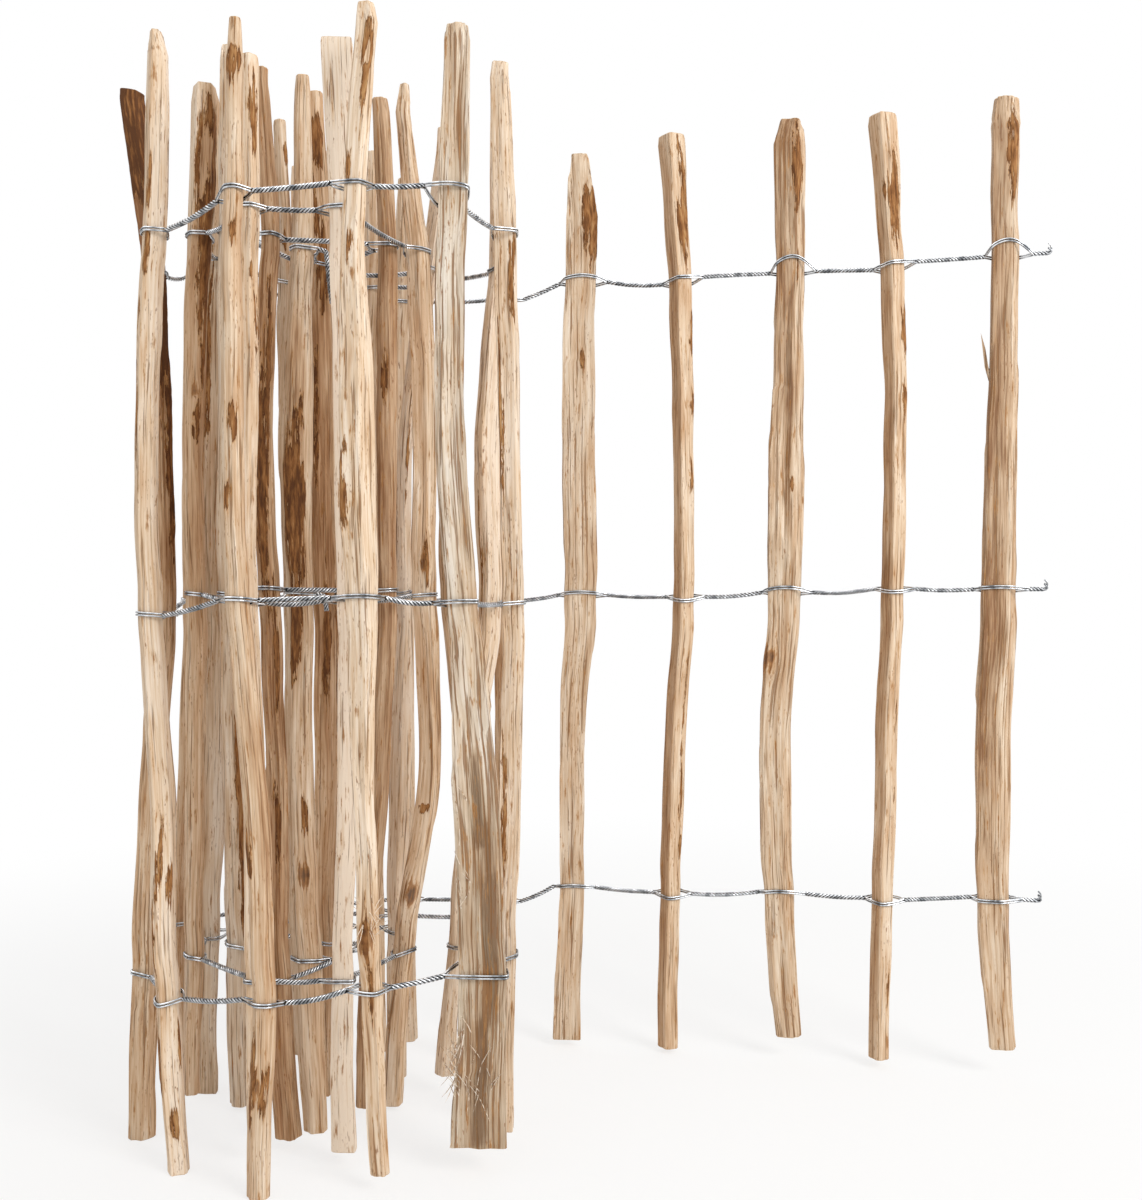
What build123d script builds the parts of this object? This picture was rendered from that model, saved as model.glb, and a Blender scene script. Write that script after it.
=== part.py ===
from build123d import *
from dataclasses import dataclass
from math import cos, pi, sin
import os

# A roll of cleft-wood paling fence, partly unrolled and standing on its ends.
# The pales are split rods about 0.9 m long. Three lines of galvanised wire hold them:
# at each pale one strand passes on either side, and between pales the strands are twisted.
# Sizes are in millimetres. The layout is drawn seen from the front: X runs to the right,
# Y runs away from the viewer and Z up. At the end it is moved so that the origin is the
# middle of its footprint, on the ground.

# Heights that every pale shares
low_wire_height = 147.0
lower_bay_height = 302.0
middle_wire_height = 458.0
upper_bay_height = 612.0
top_wire_height = 769.0

# Each strand is a pair of thin round wires, drawn as one square bar
strand_width = 1.6
strand_clearance = 0.5
lead_length = 7.0
twist_radius = 2.3
twist_steps = 3
tail_length = 13.0
hook_length = 4.5
hook_rise = {"inner": 9.0, "outer": 4.5}

# Cross-sections of a cleft rod, each in a box of one by one, front towards -Y.
# Splitting leaves flat faces, and the rod's own outside is the blunt corner.
SECTIONS = {
    "ridge_left": [(-0.5, 0.05), (-0.14, -0.5), (0.44, -0.3), (0.5, 0.24), (0.0, 0.5)],
    "ridge_right": [(-0.5, -0.32), (0.18, -0.5), (0.5, 0.02), (0.06, 0.5), (-0.44, 0.28)],
    "flat_front": [(-0.5, -0.4), (0.5, -0.5), (0.46, 0.14), (0.04, 0.5), (-0.44, 0.2)],
    "round_front": [(-0.5, 0.02), (-0.26, -0.44), (0.2, -0.5), (0.5, -0.08), (0.3, 0.5), (-0.36, 0.42)],
    "wedge": [(-0.5, -0.2), (0.08, -0.5), (0.5, -0.12), (0.18, 0.5)],
}


@dataclass
class Pale:
    """One split rod. Tuples of seven run from foot to head: foot, low wire, lower bay,
    middle wire, upper bay, top wire, shoulder of the head."""

    stand: tuple  # X and Y at the middle wire
    widths: tuple  # seen width at the seven heights
    depth: float  # depth at the middle wire
    form: str  # its cross-section
    ends: tuple  # height of the foot and of the head
    sway: tuple = (0, 0, 0, 0, 0, 0, 0)  # sideways bend at the seven heights
    tip: float = 0.0  # lean away from the viewer, per unit of height
    lift: tuple = (0, 0, 0)  # rise of the low, middle and top wires over their usual height
    crown: tuple = (25, 0.8, 0)  # height of the trimmed head, share of width left, its shift
    slope: float = 0.0  # slant of the head's cut, rise per unit to the right


# The pales in wire order, from the free end, round the roll and in to its core
PALES = [
    # The unrolled stretch, right to left
    Pale((411, 1127), (28, 32, 35, 34, 31, 28, 30), 20, "ridge_right", (27, 941),
         (4, -5, -6, 0, 4, 7, 7), 0, (24, 11, 24), (28, 0.72, 2)),
    Pale((315, 1150), (21, 21, 22, 22, 22, 24, 29), 21, "ridge_left", (9, 933),
         (-14, -10, -7, 0, 4, 0, -9), 0, (17, 10, 17), (10, 0.92, 0)),
    Pale((213, 1170), (28, 31, 34, 35, 36, 29, 31), 20, "ridge_right", (23, 937),
         (4, -5, -10, 0, 3, 6, 5), 0, (20, 9, 20), (26, 0.7, 3)),
    Pale((114, 1189), (21, 21, 22, 22, 21, 24, 28), 22, "ridge_left", (5, 928),
         (-17, -13, -10, 0, 1, -3, -11), 0, (13, 2, 13), (10, 0.93, 0)),
    Pale((9, 1207), (28, 25, 27, 33, 34, 31, 30), 18, "flat_front", (7, 916),
         (-15, -8, -9, 0, 0, 1, 2), 0, (17, 6, 17), (66, 0.55, -2)),
    # Back of the outer turn
    Pale((-70, 1215), (18, 19, 20, 21, 21, 20, 19), 22, "wedge", (0, 905), (-4, -3, 0, 0, 2, 0, -3)),
    Pale((-176, 1221), (21, 22, 22, 22, 21, 20, 19), 21, "ridge_left", (0, 896), (4, 2, 0, 0, -2, 0, 3)),
    Pale((-279, 1205), (24, 23, 22, 22, 22, 21, 20), 20, "flat_front", (6, 902), (-3, -2, 0, 0, 2, 4, 3)),
    Pale((-371, 1140), (15, 15, 14, 14, 14, 14, 14), 18, "round_front", (0, 894), (-11, -10, -6, 0, 3, 6, 9)),
    # Left side and front of the outer turn
    Pale((-362, 1046), (22, 23, 22, 21, 21, 20, 20), 19, "ridge_right", (0, 931),
         (-5, -4, -6, 0, -8, -20, -45), 0.1, (-10, -11, -9), (8, 0.97, 0), -0.2),
    Pale((-343, 953), (18, 20, 21, 20, 20, 20, 17), 20, "ridge_left", (0, 927),
         (27, 18, 9, 0, -3, 0, 3), 0.03, (-9, -12, -10), (20, 0.6, -2)),
    Pale((-256, 899), (19, 19, 21, 20, 18, 16, 14), 19, "round_front", (0, 903),
         (15, 21, 13, 0, -3, -3, -1), 0, (2, 0, 2), (36, 0.68, 0)),
    Pale((-161, 904), (15, 17, 18, 25, 26, 17, 18), 19, "ridge_right", (15, 918),
         (14, 8, 0, 0, -3, -5, 5), 0, (10, 2, 10), (16, 0.75, -1)),
    Pale((-87, 937), (45, 39, 37, 25, 23, 24, 20), 15, "flat_front", (24, 917),
         (14, 17, 11, 0, -8, -7, -4), 0, (14, -2, 14), (12, 0.8, 0)),
    Pale((-50, 1016), (18, 18, 18, 19, 19, 20, 17), 20, "flat_front", (0, 922),
         (-10, -6, -3, 0, -2, -7, -11), 0, (5, -3, 5), (14, 0.85, 1), -0.15),
    Pale((-75, 1082), (19, 16, 18, 22, 23, 19, 19), 19, "ridge_left", (20, 912),
         (-42, -31, -18, 0, -2, 8, 9), 0, (-6, -3, -6)),
    # Second turn
    Pale((-119, 1150), (19, 19, 19, 19, 19, 18, 18), 19, "round_front", (12, 892), (30, 26, 14, 0, 1, 2, 2)),
    Pale((-200, 1168), (20, 21, 22, 22, 22, 21, 20), 20, "ridge_right", (8, 903), (6, 4, 1, 0, -1, 1, 3)),
    Pale((-272, 1150), (19, 20, 20, 20, 21, 18, 14), 20, "wedge", (14, 928),
         (5, 3, 1, 0, -2, -6, -13), 0, (0, 0, 0), (6, 0.9, 0)),
    Pale((-331, 1093), (20, 23, 25, 24, 19, 18, 17), 18, "flat_front", (0, 920),
         (-9, -7, -3, 0, 0, 3, 9), 0, (0, 3, 4), (18, 0.8, 0), 0.2),
    Pale((-329, 1026), (16, 17, 17, 18, 19, 22, 24), 17, "ridge_left", (26, 908),
         (-5, -1, -2, 0, -2, 3, 8), 0, (0, 5, 7), (14, 0.85, 0)),
    Pale((-262, 948), (18, 18, 18, 19, 18, 17, 16), 17, "ridge_right", (26, 898),
         (10, 9, 5, 0, 2, 2, 2), 0, (3, -2, 6), (10, 0.85, 0)),
    Pale((-180, 950), (20, 17, 17, 18, 20, 22, 26), 16, "flat_front", (13, 910),
         (-4, -4, -2, 0, -1, -4, -8), 0, (3, 0, 5), (5, 0.97, 0), -0.06),
    Pale((-132, 1056), (18, 20, 20, 22, 22, 22, 14), 19, "ridge_right", (4, 922),
         (-29, -18, 3, 0, 1, -6, -19), 0, (-4, 4, 2), (26, 0.6, 1)),
    Pale((-158, 1113), (17, 18, 22, 17, 16, 20, 21), 18, "wedge", (6, 905), (-7, -7, -5, 0, 3, 24, 40),
         0, (0, 8, 0)),
    # Inner turns and core
    Pale((-230, 1121), (19, 19, 20, 20, 20, 20, 19), 19, "ridge_left", (10, 886), (8, 5, 2, 0, 1, 1, 2),
         0, (0, 6, 0)),
    Pale((-301, 1030), (20, 21, 19, 18, 17, 17, 14), 18, "round_front", (4, 931),
         (2, 3, -1, 0, 3, 5, 9), -0.06, (4, 5, 6), (12, 0.85, 0)),
    Pale((-251, 977), (23, 18, 17, 18, 16, 15, 12), 17, "ridge_right", (11, 901),
         (16, 9, 5, 0, -3, 1, -6), 0, (-6, 9, -8), (12, 0.9, 0)),
    Pale((-163, 1040), (15, 15, 17, 18, 19, 18, 15), 17, "round_front", (9, 902),
         (-22, -16, -8, 0, 0, 0, -5), 0, (4, 8, 2), (12, 0.9, -1)),
    Pale((-227, 1079), (19, 19, 20, 19, 21, 22, 15), 18, "ridge_right", (4, 925),
         (1, 0, 0, 0, 0, -1, -7), 0, (0, 4, -4), (16, 0.85, 0)),
    Pale((-239, 1028), (21, 27, 26, 24, 31, 21, 15), 17, "ridge_left", (0, 926),
         (18, 10, 0, 0, -3, 0, 0), 0.04, (0, 6, 0), (14, 0.85, 0)),
]


def section_heights(pale):
    """The pale's seven heights, with its own foot, wires and head."""
    foot, head = pale.ends
    low, middle, top = pale.lift
    return (foot, low_wire_height + low, lower_bay_height, middle_wire_height + middle,
            upper_bay_height, top_wire_height + top, head - pale.crown[0])


def centre_at(pale, k):
    """Centre of the pale's section at its k-th height."""
    height = section_heights(pale)[k]
    lean = pale.tip * (height - middle_wire_height)
    return pale.stand[0] + pale.sway[k], pale.stand[1] + lean, height


def outline(pale, k):
    """Corners of the pale's section at its k-th height."""
    x, y, z = centre_at(pale, k)
    wide = pale.widths[k]
    deep = pale.depth * wide / pale.widths[3]
    return [(x + u * wide, y + v * deep, z) for u, v in SECTIONS[pale.form]]


def crown_outline(pale):
    """Corners of the cut at the pale's head: smaller than the shoulder, shifted and slanted."""
    x, y, _ = centre_at(pale, 6)
    rise, share, shift = pale.crown
    return [(x + shift + (px - x) * share, y + (py - y) * share, pz + rise + pale.slope * (px - x))
            for px, py, pz in outline(pale, 6)]


def facet(*corners):
    """A flat face with these corners."""
    return Face(Wire.make_polygon(corners, close=True))


def make_pale(pale):
    """A split rod: its sections joined by flat, cleft facets."""
    rings = [outline(pale, k) for k in range(7)] + [crown_outline(pale)]
    facets = [facet(*rings[0]), facet(*rings[-1])]
    for below, above in zip(rings, rings[1:]):
        for a, b, c, d in zip(below, below[1:] + below[:1], above[1:] + above[:1], above):
            facets += [facet(a, b, c), facet(a, c, d)]
    return Solid(Shell(facets))


def turn_of(a, b, c):
    """Twice the signed area of a triangle in plan: positive where a, b, c turn left."""
    return (b[0] - a[0]) * (c[1] - a[1]) - (b[1] - a[1]) * (c[0] - a[0])


def hull(points):
    """Convex outline of points in plan, anticlockwise."""
    points = sorted(set(points))
    halves = []
    for run in (points, points[::-1]):
        half = []
        for p in run:
            while len(half) > 1 and turn_of(half[-2], half[-1], p) <= 0:
                half.pop()
            half.append(p)
        halves += half[:-1]
    return halves


def grown(ring, distance):
    """A convex outline with every side moved out by distance."""
    corners = []
    for before, here, after in zip(ring[-1:] + ring[:-1], ring, ring[1:] + ring[:1]):
        first = Vector(here[0] - before[0], here[1] - before[1]).normalized()
        second = Vector(after[0] - here[0], after[1] - here[1]).normalized()
        out = Vector(first.Y + second.Y, -first.X - second.X)
        out *= distance / (1 + first.dot(second))
        corners.append((here[0] + out.X, here[1] + out.Y))
    return corners


def ahead(centre, direction, distance):
    """The point at a distance from centre along a direction, at the centre's height."""
    return (centre[0] + direction[0] * distance, centre[1] + direction[1] * distance, centre[2])


def reach(ring, centre, direction):
    """How far a ring and the lead next to it extend from centre along a direction."""
    far = max((p[0] - centre[0]) * direction[0] + (p[1] - centre[1]) * direction[1] for p in ring)
    return far + lead_length


def way(a, b):
    """Unit vector in plan from a to b."""
    v = Vector(b[0] - a[0], b[1] - a[1]).normalized()
    return v.X, v.Y


def back(direction):
    """The opposite direction."""
    return -direction[0], -direction[1]


def round_pale(ring, start, end):
    """The ring's corners that a taut wire touches from start to end, on its right and left."""
    loop = hull(ring + [start[:2], end[:2]])
    first, last = loop.index(start[:2]), loop.index(end[:2])
    turned = loop[first:] + loop[:first]
    cut = (last - first) % len(loop)
    right, left = turned[1:cut], turned[cut + 1:][::-1]
    return [(*p, start[2]) for p in right], [(*p, start[2]) for p in left]


def twist(start, end):
    """One full turn of the two strands round each other, as two lists of points."""
    along = Vector(*end) - Vector(*start)
    side = Vector(-along.Y, along.X, 0).normalized()
    up = along.cross(side).normalized()
    inner, outer = [], []
    for step in range(twist_steps + 1):
        angle = 2 * pi * step / twist_steps
        middle = Vector(*start) + along * (step / twist_steps)
        arm = (side * cos(angle) + up * sin(angle)) * twist_radius
        inner.append(tuple(middle + arm))
        outer.append(tuple(middle - arm))
    return inner, outer


def hook(strand, rise):
    """The bent-up cut end that comes before a strand's first point."""
    first, second = Vector(*strand[0]), Vector(*strand[1])
    outward = (first - second).normalized() * hook_length
    return tuple(first + outward + Vector(0, 0, rise))


def wire_line(k):
    """Both strands of the wire line at the pales' k-th height, as lists of points.

    At each pale the strands run taut round the section, one on each side. Between pales
    they wind round each other by whole turns, so each stays on its own side of the fence.
    """
    centres = [centre_at(pale, k) for pale in PALES]
    rings = [grown(hull([p[:2] for p in outline(pale, k)]), strand_clearance + strand_width / 2)
             for pale in PALES]
    ways = [way(a, b) for a, b in zip(centres, centres[1:])]
    into_core = (-ways[-1][1], ways[-1][0])
    ways = [ways[0], *ways, into_core]
    strands = {"inner": [], "outer": []}
    for i, (centre, ring) in enumerate(zip(centres, rings)):
        arrive, leave = back(ways[i]), ways[i + 1]
        start = ahead(centre, arrive, reach(ring, centre, arrive))
        end = ahead(centre, leave, reach(ring, centre, leave))
        if i == 0:
            free_inner, free_outer = twist(ahead(start, arrive, tail_length), start)
            strands["inner"] += free_inner
            strands["outer"] += free_outer
        right, left = round_pale(ring, start, end)
        last = i + 1 == len(centres)
        stop = ahead(end, leave, tail_length)
        if not last:
            stop = ahead(centres[i + 1], back(leave), reach(rings[i + 1], centres[i + 1], back(leave)))
        onward_inner, onward_outer = twist(end, stop)
        strands["inner"] += left + (onward_inner[:1] if last else onward_inner)
        strands["outer"] += right + (onward_outer[:1] if last else onward_outer)
    return {side: [hook(points, hook_rise[side])] + points for side, points in strands.items()}


def make_strand(points):
    """A strand: a small square bar run along its points, mitred at each bend."""
    path = [Vector(*p) for p in points]
    runs = [(b - a).normalized() for a, b in zip(path, path[1:])]
    side = runs[0].cross(Vector(0, 0, 1)).normalized() * (strand_width / 2)
    up = side.cross(runs[0])
    corners = [path[0] + side + up, path[0] - side + up, path[0] - side - up, path[0] + side - up]
    facets = [facet(*corners)]
    for bend, run, onward in zip(path[1:], runs, runs[1:] + runs[-1:]):
        mitre = run + onward
        ends = [c + run * ((bend - c).dot(mitre) / run.dot(mitre)) for c in corners]
        for a, b, c, d in zip(corners, corners[1:] + corners[:1], ends[1:] + ends[:1], ends):
            facets.append(facet(a, b, c, d))
        corners = ends
    facets.append(facet(*corners))
    return Solid(Shell(facets))


def build():
    """Every piece by its node's name, in the layout's own coordinates."""
    pieces = {f"pale_{n:02d}": make_pale(pale) for n, pale in enumerate(PALES, 1)}
    for name, k in (("low", 1), ("middle", 3), ("top", 5)):
        for side, points in wire_line(k).items():
            pieces[f"{name}_wires_{side}"] = make_strand(points)
    return pieces


def main():
    pieces = build()
    box = Compound(list(pieces.values())).bounding_box()
    middle = box.center()
    os.makedirs("parts", exist_ok=True)
    for name, piece in pieces.items():
        export_step(Pos(-middle.X, -middle.Y, -box.min.Z) * piece, f"parts/{name}.step")
    print("moved by", -middle.X, -middle.Y, -box.min.Z)


if __name__ == "__main__":
    main()
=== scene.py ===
"""Looks of a roll of cleft-wood paling fence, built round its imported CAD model.

Every pale is a split rod: its cleft faces are torn along the grain, patches of bark are left
on its rounded side, and its head and foot are cut across. Three lines of twisted galvanised
wire hold the pales. Lengths in the code are in millimetres, and become metres where a mesh
or curve is made.
"""

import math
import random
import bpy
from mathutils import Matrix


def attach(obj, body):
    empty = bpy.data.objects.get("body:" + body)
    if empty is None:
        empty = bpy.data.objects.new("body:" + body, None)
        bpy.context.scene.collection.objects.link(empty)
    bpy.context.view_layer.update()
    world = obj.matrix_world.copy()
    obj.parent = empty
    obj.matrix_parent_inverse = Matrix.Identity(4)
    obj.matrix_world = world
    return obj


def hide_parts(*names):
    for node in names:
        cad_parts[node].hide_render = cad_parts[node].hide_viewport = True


bl_info = {
    "name": "Cleft paling fence roll",
    "version": (1, 0, 0),
    "blender": (4, 5, 0),
    "location": "View3D > Sidebar > Paling fence",
    "description": "Builds the cleft pales, the twisted wires and a plain studio",
    "category": "Add Mesh",
}

from dataclasses import dataclass

import bpy
import numpy as np
from bpy.props import FloatProperty, FloatVectorProperty, PointerProperty
from mathutils import Vector, geometry, noise

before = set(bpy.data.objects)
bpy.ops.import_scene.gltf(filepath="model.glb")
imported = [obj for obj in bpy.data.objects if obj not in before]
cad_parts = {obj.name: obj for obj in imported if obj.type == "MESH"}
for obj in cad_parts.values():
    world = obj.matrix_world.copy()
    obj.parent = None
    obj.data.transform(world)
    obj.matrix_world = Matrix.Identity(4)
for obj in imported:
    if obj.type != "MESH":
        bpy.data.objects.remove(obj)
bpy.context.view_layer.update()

MM = 0.001  # one millimetre, in metres
EYE = (-0.02049, -1.06067, 0.458)  # the camera's place, in metres
RINGS = 8  # heights at which the CAD gives a pale's corners
WIRE_RINGS = {"low": 1, "middle": 3, "top": 5}  # the rings that the wire lines pass
SHOULDER = 6  # the ring where the trimmed head begins

# How the wood is worked: the size of each pattern across the grain and along it
RIDGES, FINE_RIDGES = (3.4, 150), (1.9, 90)
LEDGES = (7.5, 240)
SWELLING = (20, 55)
SWAYING = (40, 95)
CRUST = (3, 5)
BARK_EDGE = (5, 14)
HELD, WORKED = 3, 34  # within the first of a wire the wood is calm, and past the second fully rough
CROWDING = 0.075  # how far the points of a side are drawn towards its corners
HEAD_ROW = 3  # height of a row of points in a trimmed head
HALF_WIDTH = 9  # of a common pale
APART = 1000  # between two pales in the wood's patterns, so that no two are alike
SHARP = 34  # degrees at which an edge shades sharp
FIBRE_SHARES = (0.0, 0.35, 0.7)  # places of a loose fibre's rings along it
FRESH = 0.2  # how much lighter a loose fibre is than its pale

# How the wires run
GAP = 0.35  # between a wire and the wood
LEAD_IN, LEAD_OUT = 10.0, 5.0  # from a pale to where the rope opens before it and closes behind it
SLACK = 0.3  # how much of a wire's rise over a pale the rope beside it hangs lower
WIRE_STEP, EASINGS = 1.2, 6  # distance between a wire's places, and how often its bends are eased
STEPS_PER_TURN = 12
AROUND = (45, -45, 135, 225)  # bearings of the four wires in a rope, in degrees
ROPE_RADIUS = 0.95  # of the wires' middle lines in a rope, in wire diameters
FREE_TAIL = 13.0  # length of the rope in front of the first pale
CURL_RISES = (8.0, 5.5, 4.0, 6.5)  # of the four cut wires at its end
CURL = ((0.8, 1.0), (2.8, 0.7), (3.4, 0.35), (2.2, 0.1))  # each place's reach, and share of the rise
CORE_BEND, CORE_DIP, CORE_DRIFT = 7.0, 0.4, 0.12  # the tail's length to its bend, and its slopes
UNROLLED = 5  # pales in the part that stands unrolled


def linear(hex_colour):
    """An sRGB hex colour as linear red, green, blue and alpha."""
    parts = [int(hex_colour[i:i + 2], 16) / 255 for i in (1, 3, 5)]
    return [c / 12.92 if c <= 0.04045 else ((c + 0.055) / 1.055) ** 2.4 for c in parts] + [1.0]


# What is seen on each pale. Bearings are degrees round the pale from the side that faces the
# camera, positive to the right. Heights and sizes are in millimetres.

@dataclass
class Bark:
    """Bark left on the wood, ragged at its edge."""
    bearing: float
    low: float
    high: float
    half: float


@dataclass
class Bare:
    """A place inside bark where it has come away."""
    bearing: float
    low: float
    high: float
    half: float


@dataclass
class Shade:
    """A stretch painted darker or lighter than the rest. Some are the wood's own tone; others are painted
    shade on faces turned from the light and in narrow grooves, and painted light on faces turned to it.
    """
    bearing: float
    low: float
    high: float
    half: float
    amount: float


@dataclass
class Knot:
    """The stub of a side branch."""
    bearing: float
    height: float
    radius: float


@dataclass
class Tear:
    """A slab that was torn off: a step at one height that runs out towards another."""
    bearing: float
    step: float
    fade: float
    half: float
    depth: float


@dataclass
class Fibres:
    """Loose fibres and splinters that stand off the wood."""
    bearing: float
    low: float
    high: float
    half: float
    count: int
    length: float
    width: float = 0.7
    lean: float = 0.25
    stray: float = 0.2


@dataclass
class Look:
    """A pale's own colour and marks."""
    tone: float = 0.0
    grey: float = 0.0
    ridged: float = 1.0
    marks: tuple = ()


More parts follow.
